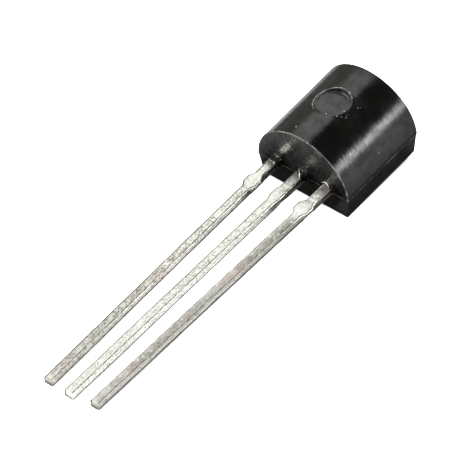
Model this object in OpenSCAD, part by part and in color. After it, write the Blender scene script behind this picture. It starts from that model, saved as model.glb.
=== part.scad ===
// TO-92 transistor: a moulded D-shaped case on three flat leads, lying on a level surface as it
// comes to rest, on the lead-end edge of its flat side and the tips of its leads.
//
// The shapes are drawn in the package's own axes: X runs from the leads into the case, with 0 at
// the lead-end face; Y runs across the leads; Z runs from the flat side to the round side, with 0
// at the parting plane, on which the leads lie. at_rest() turns and lowers them onto the surface.

/* [Case] */
// Width of the case at the parting plane
case_w = 4.45; // [4.4:0.05:4.7]
// Length of the case along the leads
case_len = 4.35; // [4.3:0.05:4.7]
// Depth of the flat half, from the parting plane to the flat side
flat_depth = 1.10; // [1.05:0.01:1.2]
// Width of the flat side
flat_w = 4.12; // [3.9:0.02:4.3]
// Draft of the round half's two end faces, in degrees
round_draft = 0.5; // [0.25:0.25:3]
// Draft of the flat half's two end faces, in degrees
flat_draft = 3.5; // [0.5:0.5:7]

/* [Ejector pin mark] */
// Radius of the round recess that the mould's ejector pin leaves in the round side
mark_r = 0.70; // [0.5:0.05:0.8]
// Depth of the recess below the crest of the round side
mark_depth = 0.23; // [0.15:0.01:0.3]
// Distance from the lead-end face to the centre of the recess
mark_x = 2.26; // [1.8:0.01:2.6]
// Offset of the recess from the middle of the case
mark_y = 0.16; // [-0.2:0.01:0.2]

/* [Leads] */
// Distance between neighbouring leads where they leave the case
pitch = 1.27; // [1.22:0.01:1.32]
// Width of a lead
lead_w = 0.44; // [0.38:0.01:0.5]
// Thickness of a lead
lead_t = 0.38; // [0.34:0.01:0.42]
// Lengths of the leads outside the case: emitter, base and collector
lead_len = [13.60, 13.75, 13.70]; // [12.7:0.05:14.5]
// Sideways bend of each lead at its tip: emitter, base and collector
lead_bend = [0.48, 0.33, 0.10]; // [-0.2:0.01:0.5]
// Extra width at the cut stub of each lead's dam bar, on the +Y side: emitter, base and collector
stub_left = [0.17, 0.08, 0.14]; // [0.03:0.01:0.2]
// Extra width at the cut stub of each lead's dam bar, on the -Y side: emitter, base and collector
stub_right = [0.10, 0.03, 0.12]; // [0.03:0.01:0.2]
// Extra width of a stub at the underside, where the shear broke it back
stub_foot = 0.02; // [0.01:0.005:0.025]
// Distance from the case to the middle of a stub
stub_x = 1.47; // [1.2:0.01:1.8]
// Length of a stub where it is widest
stub_len = 0.32; // [0.2:0.01:0.6]
// Length of the slope from a stub's full width back to the lead's
stub_slope = 0.24; // [0.1:0.01:0.3]

/* [Inside] */
// Size of the collector's die paddle along and across the case
paddle = [1.70, 1.90]; // [1.5:0.05:1.9]
// Distance from the lead-end face to the paddle
paddle_x = 1.95; // [1.9:0.05:2.0]
// How far the paddle runs past the outer edge of the collector's leg
paddle_past_leg = 0.08; // [0:0.02:0.1]
// Centre of the die on the paddle, from the paddle's corner nearest the base and the leads
die_at = [0.72, 0.62]; // [0.5:0.01:0.8]
// Size of the bond pad at the end of the emitter and base posts, along and across
post_pad = [0.65, 0.75]; // [0.6:0.05:0.8]
// Distance from the lead-end face to the emitter post's pad
emitter_pad_x = 2.25; // [2.2:0.05:2.6]
// Distance from the lead-end face to the base post's pad
base_pad_x = 0.95; // [0.8:0.05:1.0]
// Radius of the resin-locking notches in the edges of each lead inside the case
notch_r = 0.09; // [0.05:0.01:0.1]
// Distance from the lead-end face to those notches
notch_x = 0.50; // [0.3:0.02:0.5]
// Side of the square silicon die
die_side = 0.48; // [0.35:0.01:0.6]
// Thickness of the die
die_t = 0.20; // [0.15:0.01:0.3]
// Thickness of the solder layer under the die
attach_t = 0.02; // [0.01:0.005:0.04]
// Width of the solder fillet that shows around the die
attach_rim = 0.04; // [0.02:0.01:0.08]
// Diameter of the bond wires
wire_d = 0.03; // [0.025:0.005:0.05]
// Height of a wire's loop above its two ends
loop_h = 0.32; // [0.2:0.02:0.5]

/* [Hidden] */

$fn = 64;
past = 0.2;                          // how far a cutting shape runs past what it cuts
round_r = case_w / 2;
flat_inset = flat_depth * tan(flat_draft);
emitter = 0;
base = 1;
collector = 2;
exit_y = [-pitch, 0, pitch];         // where each lead leaves the case
stub_bite = 0.02;                    // how far a dam bar's stub runs into its lead
stub_land = 0.03;                    // height of a stub's side above its slanted break

// Resting pose: the underside of the longest leads' tips and the lead-end edge of the flat side
// are level.
reach = max(lead_len);
rest_tilt = atan(flat_depth / (reach + flat_inset));
lift = reach * sin(rest_tilt);
front_x = -reach * cos(rest_tilt) - lead_t * sin(rest_tilt);
back_x = (case_len - flat_inset) * cos(rest_tilt) + flat_depth * sin(rest_tilt);
mid_x = (front_x + back_x) / 2;

// Die and bonds
paddle_y = exit_y[collector] + lead_w / 2 + paddle_past_leg - paddle[1];
die_x = paddle_x + die_at[0];
die_y = paddle_y + die_at[1];
die_top = lead_t + attach_t + die_t;
bond_gap = 0.12;                     // from the die's centre to each of its two bonds
bond_r = 0.045;
bond_t = 0.02;
wire_sides = 8;
wire_rings = 13;

// Places a shape drawn in the package's axes on the surface, with the origin under its middle.
module at_rest() {
    translate([-mid_x, 0, lift])
        rotate([0, -rest_tilt, 0])
            children();
}

// Cross-section of the case: a half circle on the shallow, tapering flat half.
module case_section() {
    intersection() {
        union() {
            circle(r = round_r);
            translate([-round_r, -flat_depth])
                square([case_w, flat_depth]);
        }
        polygon([
            [-flat_w / 2, -flat_depth], [flat_w / 2, -flat_depth], [round_r, 0],
            [case_w, case_w], [-case_w, case_w], [-round_r, 0]
        ]);
    }
}

// Side view of the case: both end faces lean in from the parting plane.
module case_profile() {
    crest = round_r + past;
    crest_inset = crest * tan(round_draft);
    foot = flat_depth + past;
    foot_inset = foot * tan(flat_draft);
    polygon([
        [0, 0], [crest_inset, crest], [case_len - crest_inset, crest],
        [case_len, 0], [case_len - foot_inset, -foot], [foot_inset, -foot]
    ]);
}

module case_blank() {
    intersection() {
        rotate([90, 0, 90])
            linear_extrude(case_len)
                case_section();
        translate([0, case_w, 0])
            rotate([90, 0, 0])
                linear_extrude(2 * case_w)
                    case_profile();
    }
}

module ejector_mark() {
    translate([mark_x, mark_y, round_r - mark_depth])
        cylinder(r = mark_r, h = mark_depth + past);
}

// Sideways place of a lead's middle at a distance from the case.
function lead_y(which, distance) =
    exit_y[which] + lead_bend[which] * distance / lead_len[which];

// Outline of a lead: the outer strip, then a straight leg that reaches leg_len into the case.
module lead_outline(which, leg_len) {
    half = lead_w / 2;
    tip_y = lead_y(which, lead_len[which]);
    polygon([
        [leg_len, exit_y[which] + half], [0, exit_y[which] + half],
        [-lead_len[which], tip_y + half], [-lead_len[which], tip_y - half],
        [0, exit_y[which] - half], [leg_len, exit_y[which] - half]
    ]);
}

// Puts its children at the middle of a lead's stub, turned along the lead.
module at_stub(which) {
    translate([-stub_x, lead_y(which, stub_x), 0])
        rotate([0, 0, -atan(lead_bend[which] / lead_len[which])])
            children();
}

// Outline of what the shear left of the dam bar on one side of a lead, with sloping ends that run
// stub_bite deep into the lead. side is 1 or -1.
module stub_outline(side, extra) {
    half = lead_w / 2;
    inner = half - stub_bite;
    end_run = stub_slope * (extra + stub_bite) / extra;
    polygon([
        [side * (stub_len / 2 + end_run), side * inner],
        [side * stub_len / 2, side * (half + extra)],
        [-side * stub_len / 2, side * (half + extra)],
        [-side * (stub_len / 2 + end_run), side * inner]
    ]);
}

// What broke away under the stub on one side: all that lies beyond a slanted plane, which runs from
// stub_foot outside the lead at the underside to the stub's full width just under its top.
module stub_break(side, extra) {
    half = lead_w / 2;
    lean = (extra - stub_foot) / (lead_t - stub_land);
    outer = half + stub_foot + lean * (lead_t + past);
    whole = stub_len + 2 * stub_slope * (extra + stub_bite) / extra;
    translate([-whole / 2, 0, 0])
        rotate([90, 0, 90])
            linear_extrude(whole)
                polygon([
                    [side * (half + stub_foot - lean * past), -past],
                    [side * outer, lead_t + past],
                    [side * outer, -past]
                ]);
}

module stub_outlines(which) {
    at_stub(which) {
        stub_outline(1, stub_left[which]);
        stub_outline(-1, stub_right[which]);
    }
}

module stub_breaks(which) {
    at_stub(which) {
        stub_break(1, stub_left[which]);
        stub_break(-1, stub_right[which]);
    }
}

// Half-round notches in both edges of the leg, which the resin fills.
module leg_notches(which) {
    for (side = [-1, 1])
        translate([notch_x, exit_y[which] + side * lead_w / 2])
            circle(r = notch_r);
}

module post_lead(which, pad_x) {
    difference() {
        linear_extrude(lead_t)
            difference() {
                union() {
                    lead_outline(which, pad_x + post_pad[0] / 2);
                    stub_outlines(which);
                    translate([pad_x, exit_y[which] - post_pad[1] / 2])
                        square(post_pad);
                }
                leg_notches(which);
            }
        stub_breaks(which);
    }
}

module paddle_lead() {
    difference() {
        linear_extrude(lead_t)
            difference() {
                union() {
                    lead_outline(collector, paddle_x + paddle[0] / 2);
                    stub_outlines(collector);
                    translate([paddle_x, paddle_y])
                        square(paddle);
                }
                leg_notches(collector);
            }
        stub_breaks(collector);
    }
}

module die_block() {
    translate([die_x - die_side / 2, die_y - die_side / 2, lead_t + attach_t])
        cube([die_side, die_side, die_t]);
}

module attach_layer() {
    side = die_side + 2 * attach_rim;
    translate([die_x - side / 2, die_y - side / 2, lead_t])
        cube([side, side, attach_t]);
}

// Point of a wire's loop at t from 0 to 1; it leaves and meets its bonds straight up.
function loop_point(a, b, t) = [
    a[0] + (b[0] - a[0]) * (1 - cos(180 * t)) / 2,
    a[1] + (b[1] - a[1]) * (1 - cos(180 * t)) / 2,
    a[2] + (b[2] - a[2]) * t + loop_h * sin(180 * t)
];

// Slope of the loop at t, as its run along the ground and its rise.
function loop_slope(a, b, t) = [
    norm([b[0] - a[0], b[1] - a[1]]) * sin(180 * t) * PI / 2,
    b[2] - a[2] + loop_h * cos(180 * t) * PI
];

// One ring of the wire's tube, square to the loop at t.
function wire_ring(a, b, t) =
    let (
        ground = [b[0] - a[0], b[1] - a[1]] / norm([b[0] - a[0], b[1] - a[1]]),
        slope = loop_slope(a, b, t),
        tangent = slope / norm(slope),
        across = [-ground[1], ground[0], 0],
        up = [-ground[0] * tangent[1], -ground[1] * tangent[1], tangent[0]]
    )
    [
        for (k = [0 : wire_sides - 1])
            loop_point(a, b, t)
                + wire_d / 2 * (across * cos(360 * k / wire_sides) + up * sin(360 * k / wire_sides))
    ];

module wire_tube(a, b) {
    last = (wire_rings - 1) * wire_sides;
    polyhedron(
        points = [
            for (i = [0 : wire_rings - 1])
                each wire_ring(a, b, i / (wire_rings - 1))
        ],
        faces = concat(
            [[for (k = [0 : wire_sides - 1]) k]],
            [[for (k = [wire_sides - 1 : -1 : 0]) last + k]],
            [
                for (i = [0 : wire_rings - 2], k = [0 : wire_sides - 1])
                    let (near = i * wire_sides, far = near + wire_sides, next = (k + 1) % wire_sides)
                    [near + k, far + k, far + next, near + next]
            ]
        )
    );
}

// A wire from the die to a post, with a round bond at each end.
module bond_wire(from, to) {
    for (p = [from, to])
        translate(p)
            cylinder(r = bond_r, h = bond_t);
    wire_tube(from, to);
}

module base_bond() {
    bond_wire(
        [die_x - bond_gap, die_y - bond_gap / 2, die_top],
        [base_pad_x + post_pad[0] / 2, exit_y[base], lead_t]
    );
}

module emitter_bond() {
    bond_wire(
        [die_x + bond_gap, die_y - bond_gap, die_top],
        [emitter_pad_x + post_pad[0] / 2, exit_y[emitter] + bond_gap, lead_t]
    );
}

module case() {
    color("#1b1b1d")
        at_rest()
            difference() {
                case_blank();
                ejector_mark();
                post_lead(emitter, emitter_pad_x);
                post_lead(base, base_pad_x);
                paddle_lead();
                attach_layer();
                die_block();
                base_bond();
                emitter_bond();
            }
}

module emitter_lead() {
    color("#c8c6bd")
        at_rest()
            post_lead(emitter, emitter_pad_x);
}

module base_lead() {
    color("#d4d2ca")
        at_rest()
            post_lead(base, base_pad_x);
}

module collector_lead() {
    color("#c8c6bd")
        at_rest()
            paddle_lead();
}

module die() {
    color("#59616b")
        at_rest()
            die_block();
}

module die_attach() {
    color("#a9a7a0")
        at_rest()
            attach_layer();
}

module base_wire() {
    color("#d9a93a")
        at_rest()
            base_bond();
}

module emitter_wire() {
    color("#d9a93a")
        at_rest()
            emitter_bond();
}

case();
emitter_lead();
base_lead();
collector_lead();
die();
die_attach();
base_wire();
emitter_wire();
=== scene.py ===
import math

import bmesh
import bpy
import numpy as np
from mathutils import Matrix, Vector, noise


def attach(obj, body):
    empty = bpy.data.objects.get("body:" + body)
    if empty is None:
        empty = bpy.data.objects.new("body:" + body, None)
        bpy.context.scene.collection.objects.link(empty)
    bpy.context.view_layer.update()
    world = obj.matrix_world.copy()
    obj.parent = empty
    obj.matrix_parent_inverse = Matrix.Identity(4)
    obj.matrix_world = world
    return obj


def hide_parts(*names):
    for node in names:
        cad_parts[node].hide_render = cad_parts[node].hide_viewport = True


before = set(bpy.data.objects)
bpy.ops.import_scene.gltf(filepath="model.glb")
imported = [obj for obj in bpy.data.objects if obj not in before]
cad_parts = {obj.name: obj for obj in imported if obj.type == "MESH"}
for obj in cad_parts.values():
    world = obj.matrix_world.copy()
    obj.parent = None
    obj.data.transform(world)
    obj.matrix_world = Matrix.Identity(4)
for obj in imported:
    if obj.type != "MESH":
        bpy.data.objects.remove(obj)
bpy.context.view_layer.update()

# The shapes are worked out in the package's own axes, in millimetres: X runs from the leads into
# the case with 0 at the lead-end face, Y across the leads, Z from the flat side to the round side
# with 0 at the parting plane. at_rest() lays them down on the floor, in metres.
METRES = 0.001

# Case
CASE_W = 4.45
CASE_LEN = 4.35
FLAT_DEPTH = 1.10
FLAT_W = 4.12
ROUND_DRAFT = math.radians(0.5)
FLAT_DRAFT = math.radians(3.5)
FLASH = 0.012  # how far the parting line's flash stands out of the sides
LEDGE = 0.014  # how far the flat half's sides are set in at the parting plane
EDGE_R = 0.035  # rounding where the sides meet the end faces
FLAT_CORNER_R = 0.025  # rounding along the flat side
WAVE = 0.0036  # height of the moulding's faint waviness

# Ejector pin mark
MARK_R = 0.70
MARK_DEPTH = 0.23
MARK_X = 2.26
MARK_Y = 0.16
LIP_R = 0.775  # middle of the raised ring around the mark
LIP_W = 0.044
LIP_H = 0.012
BRINK = ((0.012, 0.0), (0.004, 0.004), (0.0, 0.016))  # the mark's edge: how far out, how far down
FILLET = (  # the foot of its wall: how far in, how far above its floor
    (0.003, 0.045), (0.008, 0.028), (0.018, 0.013), (0.032, 0.004), (0.048, 0.0),
)

# Leads: emitter, base, collector
PITCH = 1.27
LEAD_W = 0.44
LEAD_T = 0.38
LEAD_LEN = (13.60, 13.75, 13.70)
LEAD_BEND = (0.48, 0.33, 0.10)
STUB_LEFT = (0.17, 0.08, 0.14)
STUB_RIGHT = (0.10, 0.03, 0.12)
STUB_FOOT = 0.02  # what is left of a stub at the lead's underside
STUB_X = 1.47
STUB_LEN = 0.32
STUB_SLOPE = 0.24  # length of each sloping end
CORNER_R = (  # of each lead's top +Y, bottom +Y, bottom -Y and top -Y corners
    (0.10, 0.06, 0.055, 0.085),
    (0.09, 0.04, 0.030, 0.075),
    (0.12, 0.06, 0.080, 0.080),
)
STUB_ROUND = (0.07, 0.09, 0.0)  # how much rounder the bottom -Y corner is at the stub
POST_PAD = (0.65, 0.75)
EMITTER_PAD_X = 2.25
BASE_PAD_X = 0.95
PADDLE = (1.70, 1.90)
PADDLE_X = 1.95
PADDLE_PAST_LEG = 0.08
NOTCH_X = 0.50
NOTCH_R = 0.09
EMITTER, BASE, COLLECTOR = range(3)
EXIT_Y = (-PITCH, 0.0, PITCH)

# Rest pose
flat_inset = FLAT_DEPTH * math.tan(FLAT_DRAFT)
reach = max(LEAD_LEN)
rest_tilt = math.atan(FLAT_DEPTH / (reach + flat_inset))
lift = reach * math.sin(rest_tilt)
front_x = -reach * math.cos(rest_tilt) - LEAD_T * math.sin(rest_tilt)
back_x = (CASE_LEN - flat_inset) * math.cos(rest_tilt) + FLAT_DEPTH * math.sin(rest_tilt)
mid_x = (front_x + back_x) / 2
body_r = CASE_W / 2 - FLASH


def turned(v):
    """A direction in the package's axes, turned into the row's axes."""
    c, s = math.cos(rest_tilt), math.sin(rest_tilt)
    v = np.atleast_2d(np.asarray(v, float))
    return np.stack([v[:, 0] * c - v[:, 2] * s, v[:, 1], v[:, 0] * s + v[:, 2] * c], 1)


def at_rest(points):
    """Points in the package's axes and millimetres, laid on the floor in metres."""
    return (turned(points) + np.array([-mid_x, 0, lift])) * METRES


def wobble(p, size, seed=0.0):
    """Smooth noise from about -1 to 1 whose lumps are size millimetres across."""
    return noise.noise(Vector((p[0] / size + seed, p[1] / size - seed, p[2] / size + 2 * seed)))


# ---------------- materials


class Nodes:
    """Short names for building a node tree. at is where its noise is read."""

    def __init__(self, tree):
        self.tree = tree
        self.at = None
        tree.nodes.clear()

    def add(self, kind, *values, **settings):
        """A node. The values, numbers or other nodes' outputs, go to its first inputs in order."""
        node = self.tree.nodes.new(kind)
        for key, value in settings.items():
            setattr(node, key, value)
        for socket, value in zip(node.inputs, values):
            self.put(socket, value)
        return node

    def link(self, a, b):
        self.tree.links.new(a, b)

    def put(self, socket, value):
        if isinstance(value, bpy.types.NodeSocket):
            self.link(value, socket)
        else:
            socket.default_value = value

    def math(self, operation, a, b=0.0):
        return self.add("ShaderNodeMath", a, b, operation=operation).outputs[0]

    def times(self, a, b):
        return self.math("MULTIPLY", a, b)

    def plus(self, a, b):
        return self.math("ADD", a, b)

    def most(self, a, b):
        return self.math("MAXIMUM", a, b)

    def vector(self, operation, *values):
        node = self.add("ShaderNodeVectorMath", *values, operation=operation)
        return node.outputs["Value" if operation in ("LENGTH", "DISTANCE", "DOT_PRODUCT") else "Vector"]

    def scaled(self, vector, factor):
        node = self.add("ShaderNodeVectorMath", vector, operation="SCALE")
        self.put(node.inputs["Scale"], factor)
        return node.outputs["Vector"]

    def axis(self, vector, name):
        return self.add("ShaderNodeSeparateXYZ", vector).outputs[name]

    def noise(self, per_unit, detail=3.0, rough=0.55, distort=0.0, at=None):
        node = self.add("ShaderNodeTexNoise", at or self.at)
        numbers = {"Scale": per_unit, "Detail": detail, "Roughness": rough, "Distortion": distort}
        for key, number in numbers.items():
            node.inputs[key].default_value = number
        return node.outputs["Fac"]

    def span(self, value, low, high, to_low=0.0, to_high=1.0, ease="SMOOTHSTEP"):
        """value from low to high, as a number from to_low to to_high that stops at both."""
        numbers = (low, high, to_low, to_high)
        return self.add("ShaderNodeMapRange", value, *numbers, interpolation_type=ease).outputs["Result"]

    def choose(self, ray, seen, otherwise, output):
        """Sends output one closure for a kind of ray, and the other for all the rest."""
        chosen = self.add("ShaderNodeLightPath").outputs[ray]
        pick = self.add("ShaderNodeMixShader", chosen, otherwise, seen)
        self.link(pick.outputs[0], output.inputs["Surface"])


class Shader(Nodes):
    """One material. Its lengths are in millimetres."""

    def __init__(self, name):
        self.material = bpy.data.materials.new(name)
        self.material.use_nodes = True
        super().__init__(self.material.node_tree)
        self.surface = self.add("ShaderNodeBsdfPrincipled")
        self.out = self.add("ShaderNodeOutputMaterial", self.surface.outputs["BSDF"])
        self.at = self.scaled(self.add("ShaderNodeTexCoord").outputs["Object"], 1 / METRES)

    def set(self, **inputs):
        for key, value in inputs.items():
            self.put(self.surface.inputs[key.replace("_", " ")], value)

    def now(self, key):
        """What drives one of the surface's inputs so far."""
        return self.surface.inputs[key].links[0].from_socket

    def stretched(self, scale):
        """The place on the object, scaled differently along each axis."""
        return self.vector("MULTIPLY", self.at, scale)

    def mix(self, share, a, b):
        node = self.add("ShaderNodeMix", data_type="RGBA")
        self.put(node.inputs["Factor"], share)
        for socket, value in ((node.inputs[6], a), (node.inputs[7], b)):
            self.put(socket, value if isinstance(value, bpy.types.NodeSocket) else (*value, 1.0))
        return node.outputs[2]

    def near(self, point, radius):
        """1 at a point given in the package's axes, falling to 0 at radius millimetres from it."""
        away = self.vector("DISTANCE", self.at, at_rest([point])[0] / METRES)
        return self.span(away, radius, radius * 0.2)

    def along(self, start, end, soft=0.3):
        """1 on the stretch of X between two places in the package's axes, and 0 beyond it."""
        x = self.axis(self.at, "X")
        low, high = (at_rest([(v, 0, 0)])[0][0] / METRES for v in (start, end))
        rise = self.span(x, low - soft, low + soft)
        return self.times(rise, self.span(x, high + soft, high - soft))

    def stretches(self, places, share):
        """share on stretches of X, given as (start, end, amount), and 0 beyond them."""
        whole = 0.0
        for start, end, amount in places:
            whole = self.most(self.times(self.along(start, end), amount), whole)
        return self.times(whole, share)

    def across(self, which):
        """How far a point is to the +Y side of a lead's middle line, in millimetres."""
        lean = LEAD_BEND[which] / LEAD_LEN[which]
        start = EXIT_Y[which] + lean * at_rest([(0, 0, 0)])[0][0] / METRES
        along = self.times(self.axis(self.at, "X"), lean)
        return self.math("SUBTRACT", self.plus(self.axis(self.at, "Y"), along), start)

    def cells(self, scale, bend=0.4):
        """Distance to the nearest edge of a bent, broken net of small cells."""
        push = self.noise(5.0, 2.0, 0.5).node.outputs["Color"]
        centred = self.vector("SUBTRACT", push, (0.5, 0.5, 0.5))
        bent = self.vector("MULTIPLY_ADD", centred, (bend, bend, bend), self.at)
        stretched = self.vector("MULTIPLY", bent, scale)
        net = self.add("ShaderNodeTexVoronoi", stretched, feature="DISTANCE_TO_EDGE")
        net.inputs["Scale"].default_value = 1.0
        return net.outputs["Distance"]

    def bump(self, height, depth, normal=None):
        node = self.add("ShaderNodeBump")
        node.inputs["Strength"].default_value = 1.0
        node.inputs["Distance"].default_value = depth * METRES
        self.link(height, node.inputs["Height"])
        if normal is not None:
            self.link(normal, node.inputs["Normal"])
        return node.outputs["Normal"]


def toned(colour, share):
    return tuple(c * share for c in colour)


def resin(name, grain_mm, grain_depth, rough, colour, ior=1.68):
    """Black moulding resin: fine spark-eroded grain, smudges, dust and a faint drag around it."""
    s = Shader(name)
    smudge = s.noise(0.9, 4.0, 0.6)
    drag = s.noise(3.0, 3.0, 0.6, at=s.stretched((3.2, 0.5, 0.5)))
    grain = s.noise(1 / grain_mm, 3.0, 0.65)
    dusty = s.times(s.span(s.noise(17.0, 2.0), 0.68, 0.74), s.span(smudge, 0.45, 0.62))
    veil = s.mix(s.span(smudge, 0.35, 0.7), colour, toned(colour, 2.2))
    uneven = s.plus(s.span(smudge, 0.3, 0.7, -0.03, 0.05), s.span(drag, 0.3, 0.7, -0.03, 0.03))
    s.set(Base_Color=s.mix(dusty, veil, (0.03, 0.03, 0.028)), Roughness=s.plus(uneven, rough), IOR=ior)
    s.set(Specular_IOR_Level=s.span(s.noise(2.4, 5.0, 0.7), 0.32, 0.68, 0.36, 0.64))
    s.set(Normal=s.bump(grain, grain_depth, s.bump(drag, 0.0065)))
    return s


def resin_round():
    """The round side is the glossiest, and a little duller towards its far end."""
    s = resin("resin_round", 0.06, 0.0018, 0.155, (0.0009, 0.0009, 0.0008))
    far = s.along(3.7, 6.0, 0.9)
    s.set(Roughness=s.plus(s.now("Roughness"), s.times(far, 0.10)))
    s.set(Specular_IOR_Level=s.times(s.now("Specular IOR Level"), s.span(far, 0.0, 1.0, 1.0, 0.72)))
    return s.material


# What the lead-end face shows beside each lead: a glossy streak that leans to the -Y side, through
# places (how far aside, height) on the face, as painted sheen where the lead's reflection falls, and a
# dull patch where the lead leaves it, as painted shade.
SHEEN_STREAK = ((0.06, 0.52), (0.20, 0.72), (0.33, 0.93), (0.46, 1.14), (0.60, 1.36))
SHEEN_STREAK_R = 0.36
DULL_SHADE_PATCH = (0.42, 0.12)
DULL_SHADE_R = 0.56


def resin_end():
    """The end faces are glossy in specks, more pitted, and stained brown beside the emitter lead. Beside
    each lead sit a streak of painted sheen and a dull patch of painted shade.
    """
    s = resin("resin_end", 0.085, 0.0050, 0.20, (0.0010, 0.0010, 0.0007), 1.55)
    stain = s.times(s.near((-0.05, -1.42, 0.10), 0.34), s.span(s.noise(6.0), 0.3, 0.6))
    s.set(Base_Color=s.mix(stain, s.now("Base Color"), (0.010, 0.0015, 0.0030)))
    specks = s.plus(s.noise(11.0, 2.0, 0.6), s.times(s.noise(2.2, 2.0), 0.5))
    # Painted sheen in streaks beside each lead, and painted shade in a dull patch at each exit.
    dull, painted_sheen = 0.0, 0.0
    for y in EXIT_Y:
        dull = s.most(s.near((0.0, y - DULL_SHADE_PATCH[0], DULL_SHADE_PATCH[1]), DULL_SHADE_R), dull)
        for aside, up in SHEEN_STREAK:
            painted_sheen = s.most(s.near((0.0, y - aside, up), SHEEN_STREAK_R), painted_sheen)
    painted_sheen = s.times(painted_sheen, s.span(s.noise(9.0, 3.0, 0.7), 0.40, 0.58, 0.30, 1.0))
    haze = s.span(specks, 0.66, 0.84, 0.50, 0.10)
    s.set(Roughness=s.times(haze, s.span(painted_sheen, 0.0, 1.0, 1.0, 0.28)))
    s.put(s.now("Normal").node.inputs["Strength"], s.span(painted_sheen, 0.0, 1.0, 1.0, 0.25))
    gloss = s.math("SUBTRACT", s.span(painted_sheen, 0.0, 1.0, 0.58, 2.5), s.times(dull, 0.5))
    glint = s.span(s.noise(15.0, 3.0, 0.7), 0.36, 0.64, 0.45, 1.6)
    s.set(Specular_IOR_Level=s.times(s.times(s.now("Specular IOR Level"), gloss), glint))
    return s.material


def resin_flat():
    return resin("resin_flat", 0.05, 0.0042, 0.30, (0.0012, 0.0012, 0.0013), 1.6).material


def resin_floor():
    return resin("resin_mark", 0.05, 0.0011, 0.26, (0.0016, 0.0016, 0.0016)).material


def resin_seam():
    """The darker, dull strip just above the parting line: painted shade along the flash."""
    s = resin("resin_seam", 0.03, 0.0040, 0.45, (0.0006, 0.0006, 0.0006))
    s.set(Specular_IOR_Level=s.span(s.noise(4.0), 0.3, 0.7, 0.04, 0.22))
    return s.material


def resin_worn():
    """Rubbed edges and thin flash, paler than the faces beside them: partly wear, partly a painted highlight
    along the case's rims, the flash and the mark's ring.
    """
    s = resin("resin_worn", 0.04, 0.0020, 0.30, (0.012, 0.012, 0.011), 1.75)
    chips = s.span(s.noise(7.0, 3.0), 0.46, 0.66)
    s.set(Base_Color=s.mix(chips, s.now("Base Color"), (0.11, 0.11, 0.10)))
    return s.material


def tin(name, colour, rough, scribble, matte=(), copper=(), stain=None, streak=0.88,
        neck=None, pits=0.0, bright_edge=None):
    """Bright tin plate: drawn lines, squiggled dents, grey rubbed stretches, copper showing through.

    scribble, matte and copper are (start, end, amount) along X in the package's axes. stain is the
    middle of a brown stain, streak how bright the drawn lines stay, neck the colour of the dull
    film that the moulding left beside the case, and pits how dark the torn flecks are. Every lead
    is darkened towards the case as painted shade, and a lead with a neck gets a darker band of
    painted shade right at the case.
    bright_edge is the lead whose +Y edge is rubbed less.
    """
    s = Shader(name)
    drawn = s.noise(1.0, 3.0, 0.6, at=s.stretched((0.7, 16.0, 16.0)))
    fine = s.noise(26.0, 2.0)
    line = s.span(s.cells((5.5, 8.0, 8.0)), 0.085, 0.02)
    patch = s.times(s.span(s.noise(1.3, 2.0), 0.24, 0.44), s.span(s.noise(5.0, 2.0), 0.34, 0.54))
    tone = s.mix(s.span(drawn, 0.35, 0.65), colour, toned(colour, streak))
    height = s.times(drawn, 0.35)
    haze = s.span(fine, 0.3, 0.7, rough - 0.05, rough + 0.07)
    if matte:
        grey = s.stretches(matte, s.span(s.noise(2.2, 3.0, 0.6), 0.15, 0.45, 0.55, 1.0))
        if bright_edge is not None:
            grey = s.times(grey, s.span(s.across(bright_edge), -0.02, LEAD_W / 2, 1.0, 0.40))
        scoured = s.noise(1.0, 3.0, 0.65, at=s.stretched((3.0, 17.0, 17.0)))
        grain = s.mix(s.span(scoured, 0.32, 0.66), (0.22, 0.215, 0.185), (0.54, 0.53, 0.475))
        grain = s.mix(s.span(s.noise(2.4, 4.0, 0.65, 0.5), 0.52, 0.68, 0.0, 0.45), grain, (0.74, 0.73, 0.67))
        grain = s.mix(s.span(s.noise(9.0, 3.0, 0.6), 0.575, 0.635), grain, (0.94, 0.93, 0.89))
        tone = s.mix(grey, tone, grain)
        haze = s.plus(haze, s.times(grey, 0.12))
    if copper:
        bare = s.stretches(copper, s.span(s.noise(1.3, 4.0, 0.65, 0.4), 0.46, 0.62))
        tone = s.mix(bare, tone, (0.60, 0.50, 0.46))
    dents = s.stretches(scribble, s.times(line, patch))
    tone = s.mix(dents, tone, (0.20, 0.20, 0.165))
    height = s.math("SUBTRACT", height, s.times(dents, 0.35))
    # Painted shade: every lead is darkened towards where it meets the case.
    tone = s.mix(s.times(s.along(-0.50, 1.0, 0.35), 0.8), tone, (0.30, 0.30, 0.28))
    if pits:
        torn = s.span(s.noise(1.0, 3.0, 0.6, 0.3, at=s.stretched((5.0, 11.0, 11.0))), 0.53, 0.61)
        tone = s.mix(s.times(torn, pits), tone, (0.16, 0.155, 0.135))
    if neck:
        broken = s.span(s.noise(5.0, 4.0, 0.75), 0.32, 0.54, 0.38, 1.0)
        film = s.times(s.along(-1.02, 1.0, 0.14), broken)
        tone = s.mix(film, tone, neck)
        # Painted shade: a darker band right at the case, over the film.
        painted_exit_shade = s.times(s.along(-0.52, 1.0, 0.22), 0.78)
        tone = s.mix(painted_exit_shade, tone, (0.035, 0.035, 0.03))
        s.set(Metallic=s.span(film, 0.0, 1.0, 1.0, 0.25))
    else:
        s.set(Metallic=1.0)
    if stain:
        tone = s.mix(s.near(stain, 0.42), tone, (0.20, 0.11, 0.10))
    s.set(Base_Color=tone, Roughness=haze, Normal=s.bump(fine, 0.0016, s.bump(height, 0.006)))
    return s.material


def burr(name, dark, pale):
    """The rolled, darkened corners and edges of the stamped leads: metal under a broken dull skin, dark
    partly as painted shade along the lower edges and as painted reflection on the top corners.
    """
    s = Shader(name)
    broken = s.span(s.noise(5.0, 3.0, 0.6), 0.42, 0.60)
    s.set(Base_Color=s.mix(broken, dark, pale), Metallic=0.6)
    s.set(Roughness=s.span(s.noise(12.0), 0.3, 0.7, 0.40, 0.60), Normal=s.bump(broken, 0.004))
    return s.material


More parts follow.
